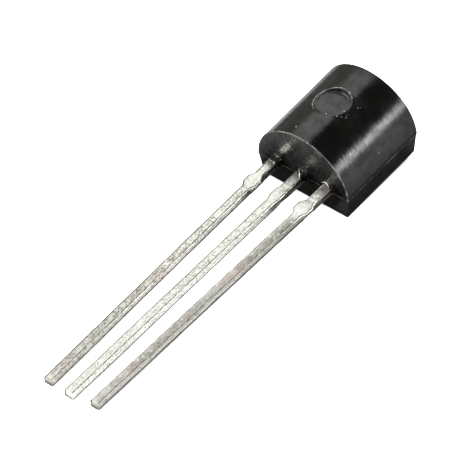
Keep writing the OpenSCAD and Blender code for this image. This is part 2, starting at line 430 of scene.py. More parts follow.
def cut_copper(name, colour, foot):
    """A lead's sheared end: copper alloy with drag marks, painted darker towards its foot as shade."""
    s = Shader(name)
    tear = s.noise(1.0, 3.0, 0.6, at=s.stretched((6.0, 9.0, 14.0)))
    height = s.plus(s.axis(s.at, "Z"), s.span(tear, 0.3, 0.7, -0.05, 0.05))
    # Painted shade: the cut grades from its colour at the top to the darker foot colour below.
    tone = s.mix(s.span(height, 0.12, 0.42), foot, colour)
    s.set(Base_Color=s.mix(s.span(tear, 0.40, 0.60, 0.0, 0.6), tone, s.mix(0.5, tone, foot)), Metallic=0.75)
    s.set(Roughness=s.span(s.noise(14.0), 0.3, 0.7, 0.42, 0.62), Normal=s.bump(tear, 0.010))
    return s.material


def plain_metal(name, colour, rough, grain_mm):
    """Metal of the sealed inner pieces, with slight unevenness."""
    s = Shader(name)
    uneven = s.noise(1 / grain_mm, 3.0)
    s.set(Base_Color=s.mix(s.span(uneven, 0.3, 0.7), colour, toned(colour, 0.82)), Metallic=1.0)
    s.set(Roughness=s.span(uneven, 0.3, 0.7, rough * 0.8, rough * 1.25), Normal=s.bump(uneven, 0.001))
    return s.material


def sliver_tin():
    """Dull bright plating, torn loose."""
    s = Shader("tin_sliver")
    torn = s.span(s.noise(9.0), 0.35, 0.65)
    s.set(Base_Color=s.mix(torn, (0.22, 0.22, 0.20), (0.78, 0.78, 0.74)), Metallic=0.25, Roughness=0.45)
    return s.material


def dust():
    s = Shader("pale_dust")
    s.set(Base_Color=s.mix(s.noise(20.0), (0.45, 0.45, 0.43), (0.20, 0.20, 0.19)), Roughness=0.6)
    return s.material


# ---------------- meshes

CREASE = math.radians(40)  # a bend sharper than this shows as a crease


def placed(name, data):
    """A new object, put in the scene."""
    made = bpy.data.objects.new(name, data)
    bpy.context.scene.collection.objects.link(made)
    return made


class Piece:
    """One piece's mesh, gathered in the package's axes and millimetres."""

    def __init__(self, materials):
        self.points, self.faces, self.finish = [], [], []
        self.materials = materials
        self.names = [m.name for m in materials]

    def ring(self, points):
        start = len(self.points)
        self.points.extend(tuple(p) for p in points)
        return list(range(start, len(self.points)))

    def face(self, corners, finish):
        self.faces.append(corners)
        self.finish.append(self.names.index(finish))

    def band(self, a, b, finish):
        """Quads between two rings. finish is a name, or a list with one, or None, for each quad."""
        for k, name in enumerate([finish] * len(a) if isinstance(finish, str) else finish):
            n = (k + 1) % len(a)
            if name:
                self.face((a[k], a[n], b[n], b[k]), name)

    def grow(self, ring, points, finish):
        """A new ring, with a band to it from the last one."""
        new = self.ring(points)
        self.band(ring, new, finish)
        return new

    def fan(self, ring, centre, finish):
        middle = self.ring([centre])[0]
        for k, corner in enumerate(ring):
            self.face((corner, ring[(k + 1) % len(ring)], middle), finish)

    def build(self, name, replaces=()):
        mesh = bpy.data.meshes.new(name)
        mesh.from_pydata([tuple(p) for p in at_rest(self.points)], [], self.faces)
        for material in self.materials:
            mesh.materials.append(material)
        mesh.polygons.foreach_set("material_index", self.finish)
        work = bmesh.new()
        work.from_mesh(mesh)
        bmesh.ops.recalc_face_normals(work, faces=work.faces)
        work.to_mesh(mesh)
        work.free()
        mesh.polygons.foreach_set("use_smooth", [True] * len(mesh.polygons))
        mesh.set_sharp_from_angle(angle=CREASE)
        made = placed(name, mesh)
        if replaces:
            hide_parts(*replaces)
        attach(made, "root")


# ---------------- case

WINDOW = 0.95  # half size of the square of the round side that the mark is set into
WINDOW_STEPS = 32
SIDE_STEPS = 16
FLAT_STEPS = 44
CORNER_STEPS = 5
EDGE_STEPS = 5
LIP_STEPS = 8
CAP_RINGS = 26
ROW = 0.075  # spacing of the rows along the case
COLUMN = math.radians(1.6)


def round_angles():
    """Angles from the crest around the round half, and the two places where the mark's window ends."""
    middle = math.asin(MARK_Y / body_r)
    half = math.asin(WINDOW / body_r)
    low, high = middle - half, middle + half
    before = np.linspace(-math.pi / 2, low, round((low + math.pi / 2) / COLUMN) + 1)
    inside = np.linspace(low, high, WINDOW_STEPS + 1)
    after = np.linspace(high, math.pi / 2, round((math.pi / 2 - high) / COLUMN) + 1)
    return np.concatenate([before, inside[1:], after[1:]]), len(before) - 1


def case_outline():
    """Cross-section as points, outward normals and a finish for the strip after each point."""
    angles, window_at = round_angles()
    arc = [(body_r * math.sin(t), body_r * math.cos(t)) for t in angles]
    top = np.array([body_r - LEDGE, -LEDGE / 2])
    foot = np.array([FLAT_W / 2, -FLAT_DEPTH])
    side_end = foot - (foot - top) / np.linalg.norm(foot - top) * FLAT_CORNER_R
    flat_start = foot - (FLAT_CORNER_R, 0)
    left = [top + (side_end - top) * k / SIDE_STEPS for k in range(SIDE_STEPS + 1)]
    for k in range(1, CORNER_STEPS):
        u = k / CORNER_STEPS
        left.append((1 - u) ** 2 * side_end + 2 * u * (1 - u) * foot + u ** 2 * flat_start)
    flat = [(flat_start[0] * (1 - 2 * k / FLAT_STEPS), -FLAT_DEPTH) for k in range(FLAT_STEPS + 1)]
    right = [(-y, z) for y, z in reversed(left)]
    points = np.array([*arc, *left, *flat, *right])
    run = np.roll(points, -1, 0) - np.roll(points, 1, 0)
    normals = np.stack([run[:, 1], -run[:, 0]], 1) / np.linalg.norm(run, axis=1, keepdims=True)
    if normals[len(arc) // 2] @ points[len(arc) // 2] < 0:
        normals = -normals
    finishes = ["resin_round"] * (len(arc) - 1) + ["resin_flat"] * (len(points) - len(arc) + 1)
    # The two strips at each end of the arc, by the parting line, carry the painted shade of the seam.
    finishes[:2] = finishes[len(arc) - 3:len(arc) - 1] = ["resin_seam"] * 2
    return points, normals, finishes, window_at


def end_inset(z):
    """How far an end face has leaned in at height z."""
    return abs(z) * math.tan(ROUND_DRAFT if z >= 0 else FLAT_DRAFT)


def far_x(z):
    return CASE_LEN - end_inset(z)


def true_z(y):
    """Height of the round side as a plain cylinder."""
    return math.sqrt(max(body_r ** 2 - y * y, 0))


def skin_z(x, y):
    """Height of the round side, with the moulding's faint waviness."""
    return true_z(y) + WAVE * wobble((x, y, 0), 0.7, 3.1) - WAVE


def mark_patch(piece, loop):
    """Sets the ejector mark and its raised ring into the square hole that loop runs round."""
    square = np.array([piece.points[k] for k in loop])[:, :2]
    centre = np.array([MARK_X, MARK_Y])
    away = square - centre
    turn = np.arctan2(away[:, 1], away[:, 0])
    aim = np.stack([np.cos(turn), np.sin(turn)], 1)
    floor_z = CASE_W / 2 - MARK_DEPTH
    outer = LIP_R + LIP_W / 2

    # Most of the way round, the raised ring takes the paler resin, partly as painted highlight.
    lip_finish = ["resin_worn" if math.sin(t + 0.6) > -0.15 else "resin_round" for t in turn]

    def floor(x, y):
        return floor_z + 0.002 * wobble((x, y, 0), 0.4, 1.9) - 0.001

    steps = []
    for share in (0.2, 0.4, 0.6, 0.8, 1.0):
        steps.append((square * (1 - share) + (centre + aim * outer) * share, skin_z, "resin_round"))
    for step in range(1, LIP_STEPS + 1):
        lump = LIP_H * math.sin(math.pi * step / LIP_STEPS) ** 2

        def lip(x, y, lump=lump):
            """The raised ring, which is broken and stands highest to the +X, +Y side."""
            towards = ((y - MARK_Y) + 0.7 * (x - MARK_X)) / LIP_R
            whole = 0.62 + 0.50 * towards + 0.45 * wobble((x, y, 0), 0.14, 7.7)
            return skin_z(x, y) + lump * min(max(whole, 0.0), 1.0)

        steps.append((centre + aim * (outer - LIP_W * step / LIP_STEPS), lip, lip_finish))
    for out, drop in BRINK:
        plan = centre + aim * (MARK_R + out)
        steps.append((plan, lambda x, y, drop=drop: skin_z(x, y) - drop, "resin_round"))
    for back, rise in FILLET:
        finish = "resin_mark" if rise < 0.02 else "resin_round"
        steps.append((centre + aim * (MARK_R - back), lambda x, y, rise=rise: floor_z + rise, finish))
    for share in np.linspace(0.88, 0.08, 9):
        steps.append((centre + aim * MARK_R * share, floor, "resin_mark"))
    ring = loop
    for plan, height, finish in steps:
        ring = piece.grow(ring, [(x, y, height(x, y)) for x, y in plan], finish)
    piece.fan(ring, (MARK_X, MARK_Y, floor_z), "resin_mark")


def build_case(finishes):
    piece = Piece(finishes)
    outline, normals, strips, window_at = case_outline()
    # The rounded edges at the ends take the paler resin, partly as painted highlight.
    edge_strips = [name if name == "resin_flat" else "resin_worn" for name in strips]

    def slice_at(place, inset=0.0):
        """A ring of the case: place(z) is where along X a point at height z lies."""
        points = []
        for y, z in outline - normals * inset:
            ripple = (skin_z(place(z), y) - true_z(y)) * z / body_r if z > 0 else 0.0
            points.append((place(z), y, z + ripple))
        return piece.ring(points)

    def cap(place, out):
        """The rounded edge and the face at one end; out is -1 at the lead end and 1 at the other."""
        rings = []
        for k in range(EDGE_STEPS + 1):
            turn = math.pi / 2 * k / EDGE_STEPS
            back, inset = EDGE_R * (1 - math.sin(turn)), EDGE_R * (1 - math.cos(turn))
            rings.append(slice_at(lambda z, back=back: place(z) - out * back, inset))
        for a, b in zip(rings, rings[1:]):
            piece.band(a, b, edge_strips)
        last = rings[-1]
        for k in range(1, CAP_RINGS):
            plan = (outline - normals * EDGE_R) * (1 - k / CAP_RINGS)
            last = piece.grow(last, [(place(z), y, z) for y, z in plan], "resin_end")
        piece.fan(last, (place(0), 0, 0), "resin_end")
        return rings[0]

    first = cap(end_inset, -1)
    last = cap(far_x, 1)
    low, high = MARK_X - WINDOW, MARK_X + WINDOW
    stops = np.concatenate([
        np.linspace(EDGE_R, low, round(low / ROW) + 1)[1:],
        np.linspace(low, high, WINDOW_STEPS + 1)[1:],
        np.linspace(high, CASE_LEN - EDGE_R, round((CASE_LEN - high) / ROW) + 1)[1:-1],
    ])
    start = round(low / ROW)
    rows = [first]
    for stop in stops:
        share = (stop - EDGE_R) / (CASE_LEN - 2 * EDGE_R)

        def place(z, share=share):
            a, b = end_inset(z) + EDGE_R, far_x(z) - EDGE_R
            return a + (b - a) * share

        rows.append(slice_at(place))
    rows.append(last)
    top, end = start + WINDOW_STEPS, window_at + WINDOW_STEPS
    for i, (a, b) in enumerate(zip(rows, rows[1:])):
        names = list(strips)
        if start <= i < top:
            names[window_at:end] = [None] * WINDOW_STEPS
        piece.band(a, b, names)
    loop = [rows[start][k] for k in range(window_at, end)]
    loop += [rows[i][end] for i in range(start, top)]
    loop += [rows[top][k] for k in range(end, window_at, -1)]
    loop += [rows[i][window_at] for i in range(top, start, -1)]
    mark_patch(piece, loop)
    piece.build("case_moulding", ["case"])


FLASH_ROOT = 0.03  # how deep the flash starts inside the case
FLASH_LIP = ((0.9, 0.005), (1.0, 0.0), (0.7, -0.006))  # its section: share of its reach, and height
FLASH_TOP = 0.016  # heights of its root's top and foot
FLASH_FOOT = -0.014
FLASH_ARCH = 0.07  # how far it arches up between the leads
FLASH_STEP = 0.05


def build_flash(wear_and_highlight):
    """The thin line of flash that the mould's parting plane leaves all round the case."""
    piece = Piece([wear_and_highlight])
    corners = [(0, -body_r), (0, body_r), (CASE_LEN, body_r), (CASE_LEN, -body_r)]
    route = []
    for a, b in zip(np.array(corners), np.roll(corners, -1, 0)):
        count = round(np.linalg.norm(b - a) / FLASH_STEP)
        route += [(a + (b - a) * k / count, (b - a) / np.linalg.norm(b - a)) for k in range(count)]
    rings = []
    for spot, along in route:
        out = np.array([-along[1], along[0]])
        tall = FLASH * (0.72 + 0.28 * wobble((spot[0], spot[1], 0), 0.3, 5.3))
        rise = 0.0
        if spot[0] < 0.01:
            between = (abs(spot[1]) - LEAD_W / 2) / (PITCH - LEAD_W)
            rise = FLASH_ARCH * math.sin(math.pi * between) if 0 < between < 1 else 0.0
        plan = [(-FLASH_ROOT, FLASH_TOP), *((tall * share, up) for share, up in FLASH_LIP),
                (-FLASH_ROOT, FLASH_FOOT)]
        rings.append(piece.ring([(*(spot + out * reach), up + rise) for reach, up in plan]))
    for a, b in zip(rings, rings[1:] + rings[:1]):
        piece.band(a, b, wear_and_highlight.name)
    piece.build("parting_flash")


# ---------------- leads

FINE = 0.04  # spacing of a lead's rings where it shows
TOP_STEPS = 12
SIDE_CUTS = 9
TURN_STEPS = 6
TIP_STEPS = 4
# Painted reflection: the ridge strips are dark where the rounded top corner would mirror the studio's dark.
RIDGE = ((0, 2), (3, 6), (3, 6))  # dark strips of each lead's top -Y corner, counted up from its side
BURNISH = 0.45  # burnished share of a punched side, at its top
# Painted shade: the foot strips darken the bottom of each lead's -Y side.
FOOT = (2, 2, 3)  # dark strips at the foot of each lead's -Y side
CUT_RINGS = (0.5, 0.3, 0.12)  # rings of a cut tip inside its burr, as shares of its outline
TIP_BACK = 0.6  # how far a tip's worn edge reaches back, and how far in, as shares of tip_r
TIP_IN = 0.55
SKIN_IN = 0.003  # how far the dented skin lies inside the solid on average
DENTS = ((0.55, 11.0, 0.0030), (0.14, 4.0, 0.0025))  # size, place in the noise and depth of its lumps
GOUGE = 0.016  # depth of the few deeper dents
STUB_TEAR = 0.030  # depth of the torn sides of a stub
GROOVE = 0.012  # depth of the scored line under a side's burnish
TOP_GROOVE = 0.005  # depth of the one near the top's -Y edge
CUT_IN = 0.004  # how far a cut face lies in from its tip, and how uneven it is
CUT_SHIFT = (0.0, 0.02, 0.03)  # its smooth part sits this far off its middle


def outer_edges(which, distance):
    """Y of a lead's edges at a distance from the case, for section(), and how far into a stub it is."""
    middle, half = EXIT_Y[which] + LEAD_BEND[which] * distance / LEAD_LEN[which], LEAD_W / 2
    near, far = STUB_X - STUB_LEN / 2, STUB_X + STUB_LEN / 2
    places = [near - STUB_SLOPE, near, far, far + STUB_SLOPE]
    share = float(np.interp(distance, places, [0, 1, 1, 0]))
    left, right = STUB_LEFT[which] * share, STUB_RIGHT[which] * share
    high, low = middle + half, middle - half
    return (high + left, high + min(left, STUB_FOOT), low - min(right, STUB_FOOT), low - right), share


def inner_edges(which):
    """The leg and its pad inside the case, as X and the four edges that section() takes."""
    y, half = EXIT_Y[which], LEAD_W / 2
    spans = [(0.10, y - half, y + half)]
    for turn in np.linspace(0, math.pi, 9):
        bite = NOTCH_R * math.sin(turn)
        spans.append((NOTCH_X - NOTCH_R * math.cos(turn), y - half + bite, y + half - bite))
    if which == COLLECTOR:
        far = y + half + PADDLE_PAST_LEG
        start, end, low, high = PADDLE_X, PADDLE_X + PADDLE[0], far - PADDLE[1], far
    else:
        start = EMITTER_PAD_X if which == EMITTER else BASE_PAD_X
        end, low, high = start + POST_PAD[0], y - POST_PAD[1] / 2, y + POST_PAD[1] / 2
    spans += [(start - 0.001, y - half, y + half), (start, low, high), (end, low, high)]
    return [(x, (high, high, low, low)) for x, low, high in spans]


def flat_steps(quarter):
    """Strips on the flat after each corner: sides after 0 and 2, underside and top after 1 and 3."""
    return SIDE_CUTS if quarter in (0, 2) else TOP_STEPS


def section(edges, radii, inset=0.0):
    """A lead's rounded section as (y, z, outward y, outward z), from the top's high edge round.

    edges are the Y of its top +Y, bottom +Y, bottom -Y and top -Y edges.
    """
    corners = [
        (y - aside * (inset + r), LEAD_T - inset - r if up else inset + r, r)
        for y, r, aside, up in zip(edges, radii, (1, 1, -1, -1), (True, False, False, True))
    ]
    ring = []
    for quarter, (cy, cz, r) in enumerate(corners):
        for k in range(TURN_STEPS + 1):
            turn = math.pi / 2 * (1 - quarter - k / TURN_STEPS)
            ny, nz = math.cos(turn), math.sin(turn)
            ring.append((cy + r * ny, cz + r * nz, ny, nz))
        ny, nz = round(ny), round(nz)
        after = corners[(quarter + 1) % 4]
        end = (after[0] + after[2] * ny, after[1] + after[2] * nz)
        start = ring[-1][:2]
        for k in range(1, flat_steps(quarter)):
            u = k / flat_steps(quarter)
            ring.append((start[0] * (1 - u) + end[0] * u, start[1] * (1 - u) + end[1] * u, ny, nz))
    return ring


def ring_finishes(which, face, burnish, fracture, corner, edge, ridge):
    """A finish for each strip of a lead's ring. A punched side is burnished above and broken below."""
    split = round(SIDE_CUTS * BURNISH)
    foot, (low, high) = FOOT[which], RIDGE[which]
    runs = (
        (corner, TURN_STEPS), (burnish, split), (fracture, SIDE_CUTS - split), (edge, TURN_STEPS),
        (face, TOP_STEPS), (edge, TURN_STEPS + foot), (fracture, SIDE_CUTS - split - foot),
        (burnish, split + low), (ridge, high - low), (face, TURN_STEPS - high + TOP_STEPS),
    )
    return [finish for finish, count in runs for _ in range(count)]


def ring_grooves():
    """Depth of the scored lines by place on a lead's ring: under the burnish and near the top's edge."""
    split = round(SIDE_CUTS * BURNISH)
    starts = np.cumsum([0] + [TURN_STEPS + flat_steps(q) for q in range(4)])
    return {
        int(starts[0] + TURN_STEPS + split): GROOVE,
        int(starts[2] + TURN_STEPS + SIDE_CUTS - split): GROOVE,
        int(starts[3] + TURN_STEPS + 2): TOP_GROOVE,
    }


def build_lead(which, name, node, finishes, tip_r, burr_share):
    """One lead, ring by ring from its cut tip to its pad inside the case.

    burr_share is where the burr along the cut's lower edges ends, as a share of the cut's outline.
    """
    face, burnish, fracture, corner, edge, ridge, cut, rim, lip = (m.name for m in finishes)
    piece = Piece(finishes)
    length, grooves = LEAD_LEN[which], ring_grooves()

    def ring_at(x, edges, inset=0.0, stub=0.0, rough=True):
        points = []
        radii = list(CORNER_R[which])
        radii[2] += STUB_ROUND[which] * stub
        for k, (y, z, ny, nz) in enumerate(section(edges, radii, inset)):
            sink = 0.0
            if rough:
                p = (x, y, z)
                sink = SKIN_IN + sum(deep * wobble(p, size, seed + which) for size, seed, deep in DENTS)
                sink += GOUGE * max(0.0, wobble(p, 0.22, 21.0 + which) - 0.28)
                sink += stub * abs(ny) * STUB_TEAR * abs(wobble(p, 0.11, 31.0 + which))
                if k in grooves:
                    sink += grooves[k] * max(0.0, 0.7 + 0.9 * wobble((x, k, 0), 0.8, 51.0 + which))
            points.append((x, y - ny * sink, z - nz * sink))
        return piece.ring(points)

    rings = []
    for turn in np.linspace(0, math.pi / 2, TIP_STEPS + 1):
        x = -length + TIP_BACK * tip_r * (1 - math.cos(turn))
        rings.append(ring_at(x, outer_edges(which, -x)[0], TIP_IN * tip_r * (1 - math.sin(turn))))
    start = -length + TIP_BACK * tip_r
    for x in np.linspace(start, -0.02, round(-start / FINE))[1:]:
        edges, stub = outer_edges(which, -x)
        rings.append(ring_at(x, edges, stub=stub))
    for x, edges in inner_edges(which):
        rings.append(ring_at(x, edges, rough=False))
    marks = ring_finishes(which, face, burnish, fracture, corner, edge, ridge)
    dark = 3 * TURN_STEPS + SIDE_CUTS + TOP_STEPS
    rims = [edge] * dark + [rim] * (len(marks) - dark)
    lips = [lip] * dark + [cut] * (len(marks) - dark)
    for index, (a, b) in enumerate(zip(rings, rings[1:])):
        piece.band(a, b, rims if index < TIP_STEPS else marks)

    middle = np.array([-length + CUT_IN, outer_edges(which, length)[0][0] - LEAD_W / 2, LEAD_T / 2])
    centre = middle + CUT_SHIFT
    last = rings[0]
    for share in (burr_share, *CUT_RINGS):
        points = [centre + (np.array(piece.points[k]) - middle) * share for k in rings[0]]
        uneven = [(middle[0] + CUT_IN * wobble(p, 0.12, 9.0 + which), p[1], p[2]) for p in points]
        last = piece.grow(last, uneven, lips if share == burr_share else cut)
    piece.fan(last, tuple(middle), cut)
    end = np.mean([piece.points[k] for k in rings[-1]], axis=0)
    piece.fan(rings[-1], tuple(end), face)
    piece.build(name, [node])


BLEED = ((-0.03, -0.14), (-0.08, -0.40), (-0.20, -0.26))  # its reach on each lead's +Y and -Y edge
BLEED_SKIN = (  # share of its reach, and how far off the lead; the first is inside the case
    (-0.1, 0.050), (0.0, 0.045), (0.12, 0.022), (0.5, 0.012), (0.85, 0.009), (1.0, 0.002), (1.04, -0.014),
)
BLEED_ROOT = 0.02  # X of its root inside the case, and of the ring that closes it in the lead
BLEED_IN = 0.05


def build_bleed(finish):
    """The thin black resin that ran out along each lead where it leaves the case."""
    piece = Piece([finish])
    for which, (left, right) in enumerate(BLEED):
        y = EXIT_Y[which]
        high, low = y + LEAD_W / 2, y - LEAD_W / 2
        outline = section((high, high, low, low), CORNER_R[which])
        rings = []
        for share, spread in BLEED_SKIN:
            points = []
            for sy, sz, ny, nz in outline:
                across = (high - sy) / LEAD_W
                far = (left + (right - left) * across) * (0.4 + 0.6 * sz / LEAD_T)
                far *= 1 + 0.35 * wobble((sy, sz, which), 0.10, 13.0)
                puff = spread * (1 + 0.6 * wobble((sy, sz, share), 0.13, 17.0))
                points.append((BLEED_ROOT if share < 0 else far * share, sy + ny * puff, sz + nz * puff))
            rings.append(piece.ring(points))
        inner = section((high, high, low, low), CORNER_R[which], BLEED_IN)
        rings.append(piece.ring([(BLEED_IN, *p[:2]) for p in inner]))
        for a, b in zip(rings, rings[1:] + rings[:1]):
            piece.band(a, b, finish.name)
    piece.build("lead_exit_bleed")


SLIVERS = (  # how thick each is, and the points that it runs through
    (0.015, ((-0.05, -1.00, 0.38), (-0.01, -1.10, 0.42), (-0.02, -1.20, 0.43), (-0.07, -1.33, 0.40),
             (-0.12, -1.42, 0.37))),
    (0.017, ((-0.02, 0.17, 0.38), (-0.10, 0.08, 0.40), (-0.20, -0.02, 0.40), (-0.34, -0.13, 0.38),
             (-0.40, -0.20, 0.33))),
    (0.016, ((-0.27, 1.36, 0.385), (-0.29, 1.31, 0.39), (-0.30, 1.27, 0.385))),
    (0.015, ((-0.30, 1.19, 0.385), (-0.31, 1.15, 0.39), (-0.32, 1.12, 0.382))),
)


def build_slivers(metal):
    """Bright plating pushed up in slivers against the resin at the exits."""
    piece = Piece([metal])
    for thick, path in SLIVERS:
        path = np.array(path)
        count = 4 * (len(path) - 1)
        rings = []
        for k in range(count + 1):
            u = k / count * (len(path) - 1)
            i = min(int(u), len(path) - 2)
            middle = path[i] + (path[i + 1] - path[i]) * (u - i)
            along = (path[i + 1] - path[i]) / np.linalg.norm(path[i + 1] - path[i])
            side = np.cross(along, (0, 0, 1))
            side /= np.linalg.norm(side)
            up = np.cross(side, along)
            taper = max(math.sin(math.pi * k / count), 0.15) ** 0.6
            fat = thick * taper * (1 + 0.4 * wobble(middle, 0.07, 61.0))
            rings.append(piece.ring([
                middle + fat * (side * math.cos(a) + up * math.sin(a))
                for a in np.linspace(0, 2 * math.pi, 9)[:-1]
            ]))
        for a, b in zip(rings, rings[1:]):
            piece.band(a, b, metal.name)
        for ring in (rings[0], rings[-1]):
            piece.fan(ring, tuple(np.mean([piece.points[k] for k in ring], axis=0)), metal.name)
    piece.build("exit_slivers")


DUST, CRUMB = range(2)
GRAINS = (  # what lies on the round side: x, y, size and kind
    (0.45, 0.51, 0.021, DUST), (0.99, -1.66, 0.026, DUST), (1.60, -0.06, 0.019, DUST),
    (2.14, -0.51, 0.016, DUST), (1.30, 0.11, 0.018, CRUMB), (2.63, -0.80, 0.034, CRUMB),
    (2.72, -0.86, 0.022, CRUMB), (1.77, -0.45, 0.028, CRUMB), (1.86, -0.60, 0.024, CRUMB),
    (1.96, -0.74, 0.032, CRUMB), (2.05, -0.70, 0.020, CRUMB), (2.15, -2.08, 0.014, DUST),
)


def build_specks(pale, wear_and_highlight):
    """Dust on the round side, and resin crumbs around the ejector mark."""
    piece = Piece([pale, wear_and_highlight])
    for index, (x, y, size, kind) in enumerate(GRAINS):
        lump = bmesh.new()
        bmesh.ops.create_icosphere(lump, subdivisions=2, radius=size)
        base = len(piece.points)
        stand = skin_z(x, y) + size * 0.25
        for v in lump.verts:
            grow = 1 + 0.5 * wobble(v.co / size, 0.9, 40.0 + index)
            piece.points.append((x + v.co.x * grow, y + v.co.y * grow, stand + v.co.z * grow * 0.7))
        for f in lump.faces:
            piece.face(tuple(base + v.index for v in f.verts), piece.names[kind])
        lump.free()
    piece.build("specks")


# ---------------- light, floor and camera

# What the shiny surfaces see, by direction in the package's axes: azimuth from +X towards +Y,
# elevation, half width, half height and softness in degrees, then radiance and tint.
PANELS = (
    ("back softbox", 50, 52, 32, 20, 6, 1.15, (1.0, 1.0, 0.99)),
    ("right strip", -60, 16.8, 48, 6.3, 4.6, 6.0, (1.0, 1.0, 0.98)),
    ("right wall", -60, 1, 60, 7, 8, 0.68, (0.97, 0.97, 1.0)),
    ("left wall", 60, 8, 34, 22, 6, 0.28, (1.0, 1.0, 0.82)),
    ("rim light", 135, 23, 29, 22.5, 10, 4.2, (1.0, 1.0, 0.97)),
    ("front fill", -140, 40, 34, 22, 12, 1.0, (1.0, 1.0, 1.0)),
    ("far wall", 0, 20, 24, 14, 8, 0.55, (1.0, 1.0, 0.99)),
    ("ceiling", 0, 90, 200, 13, 7, 0.85, (1.0, 1.0, 0.99)),
    ("mirror light", 136, 54, 18, 9, 7, 3.5, (1.0, 1.0, 0.98)),
)
DARK = 0.03  # radiance of the studio between the panels


def build_world():
    """The shiny surfaces see the panels, through cloth that folds. The camera sees white."""
    world = bpy.data.worlds.new("studio")
    world.use_nodes = True
    bpy.context.scene.world = world
    n = Nodes(world.node_tree)
    look = n.add("ShaderNodeTexCoord").outputs["Generated"]
    turn = n.add("ShaderNodeVectorRotate", look, rotation_type="Y_AXIS")
    turn.inputs["Angle"].default_value = rest_tilt
    n.at = turn.outputs[0]
    x, y, z = (n.axis(n.at, name) for name in "XYZ")
    degrees = 180 / math.pi
    elevation = n.times(n.math("ARCSINE", z), degrees)
    folds = n.span(n.noise(7.0, 4.0, 0.5), 0.3, 0.7, 0.72, 1.28, "LINEAR")
    total = (DARK, DARK, DARK)
    for name, azimuth, height, half_w, half_h, soft, radiance, tint in PANELS:
        c, s = math.cos(math.radians(azimuth)), math.sin(math.radians(azimuth))
        ahead = n.plus(n.times(x, c), n.times(y, s))
        aside = n.plus(n.times(y, c), n.times(x, -s))
        off = n.math("ABSOLUTE", n.times(n.math("ARCTAN2", aside, ahead), degrees))
        rise = n.math("ABSOLUTE", n.plus(elevation, -height))
        wide = n.span(off, half_w + soft, half_w - soft)
        share = n.times(wide, n.span(rise, half_h + soft, half_h - soft))
        glow = n.scaled(tint, n.times(n.times(share, folds), radiance))
        glow.node.label = name
        total = n.vector("ADD", total, glow)
    studio, white = (n.add("ShaderNodeBackground", colour).outputs[0] for colour in (total, (1, 1, 1, 1)))
    n.choose("Is Camera Ray", white, studio, n.add("ShaderNodeOutputWorld"))


# What the shiny surfaces see of the table, in the package's axes and millimetres: its own painted
# glow, brighter to the left of the leads than to the right of the case, and a painted shade round the case.
FLOOR = 2.0  # half its size, in metres
GLOW_LOW, GLOW_HIGH = 0.75, 1.27
GLOW_TOWARDS = (-0.7, 0.7, 0.0)
GLOW_REACH = 4.0
SHADES = (  # low corner, high corner, and how fast each shade fades
    ((0.4, -2.65, 0.0), (4.4, 0.0, 0.0), 2.2),
    ((-1.25, -1.3, 0.0), (0.4, 2.5, 0.0), 0.5),
)
SHADE = 0.07  # what is left of the glow in a shade
FAR_LEFT = (5.0, 15.0, 1.0, 0.16)  # where the table's left end darkens, and from what to what share


def build_floor():
    """A pale table. The shiny surfaces see it as a painted glow with a painted shade round the case."""
    mesh = bpy.data.meshes.new("floor")
    corners = [(FLOOR * x, FLOOR * y, 0) for x, y in ((-1, -1), (1, -1), (1, 1), (-1, 1))]
    mesh.from_pydata(corners, [], [(0, 1, 2, 3)])
    s = Shader("pale_floor")
    s.set(Base_Color=(0.86, 0.86, 0.86, 1.0), Roughness=0.9, Specular_IOR_Level=0.0)
    level = (1, 1, 0)
    here = s.vector("MULTIPLY", s.at, level)
    shade = 0.0
    for low, high, fade in SHADES:
        low, high = (at_rest([p])[0] / METRES * level for p in (low, high))
        aside = s.vector("ABSOLUTE", s.vector("SUBTRACT", here, (low + high) / 2))
        beyond = s.vector("MAXIMUM", s.vector("SUBTRACT", aside, (high - low) / 2), (0, 0, 0))
        shade = s.most(s.math("EXPONENT", s.times(s.vector("LENGTH", beyond), -1 / fade)), shade)
    exits = at_rest([(0, 0, 0)])[0] / METRES * level
    side = s.vector("DOT_PRODUCT", s.vector("SUBTRACT", here, exits), GLOW_TOWARDS)
    glow = s.math("SUBTRACT", 1.0, s.times(shade, 1 - SHADE))
    glow = s.times(glow, s.span(side, -GLOW_REACH, GLOW_REACH, GLOW_LOW, GLOW_HIGH))
    glow = s.times(glow, s.span(s.axis(here, "Y"), *FAR_LEFT))
    # Painted glow and painted shade, seen only by glossy rays.
    seen = s.add("ShaderNodeEmission")
    s.link(glow, seen.inputs["Strength"])
    s.choose("Is Glossy Ray", seen.outputs["Emission"], s.surface.outputs["BSDF"], s.out)
    s.material.cycles.emission_sampling = "NONE"
    mesh.materials.append(s.material)
    floor = placed("floor", mesh)


LAMP_SIZE = 0.9
LAMP_HEIGHT = 0.45
LAMP_POWER = 12.0


def build_overhead():
    """Wide soft light that keeps the floor pale. The shiny surfaces see the studio instead."""
    light = bpy.data.lights.new("overhead", "AREA")
    light.shape = "DISK"
    light.size = LAMP_SIZE
    light.energy = LAMP_POWER
    lamp = placed("overhead", light)
    lamp.location = (0, 0, LAMP_HEIGHT)
    lamp.visible_glossy = False


CAMERA_AT = (-120.21, -109.711, 181.172)
CAMERA_RIGHT = (0.62386, -0.77806, -0.07356)
CAMERA_AIM = (0.48131, 0.45665, -0.7482)
LENS_MM = 504.0
SENSOR_MM = 36.0


def build_camera():
    data = bpy.data.cameras.new("camera")
    data.lens = LENS_MM
    data.sensor_width = SENSOR_MM
    data.clip_start = 0.01
    camera = placed("camera", data)
    right = Vector(turned(CAMERA_RIGHT)[0]).normalized()
    back = -Vector(turned(CAMERA_AIM)[0]).normalized()
    up = back.cross(right).normalized()
    axes = Matrix((up.cross(back), up, back)).transposed().to_4x4()
    camera.matrix_world = Matrix.Translation(at_rest(CAMERA_AT)[0]) @ axes
    bpy.context.scene.camera = camera


# ---------------- the part

wear_and_highlight_resin = resin_worn()
end_resin = resin_end()
build_case([resin_round(), end_resin, resin_flat(), resin_floor(), wear_and_highlight_resin, resin_seam()])
build_flash(wear_and_highlight_resin)

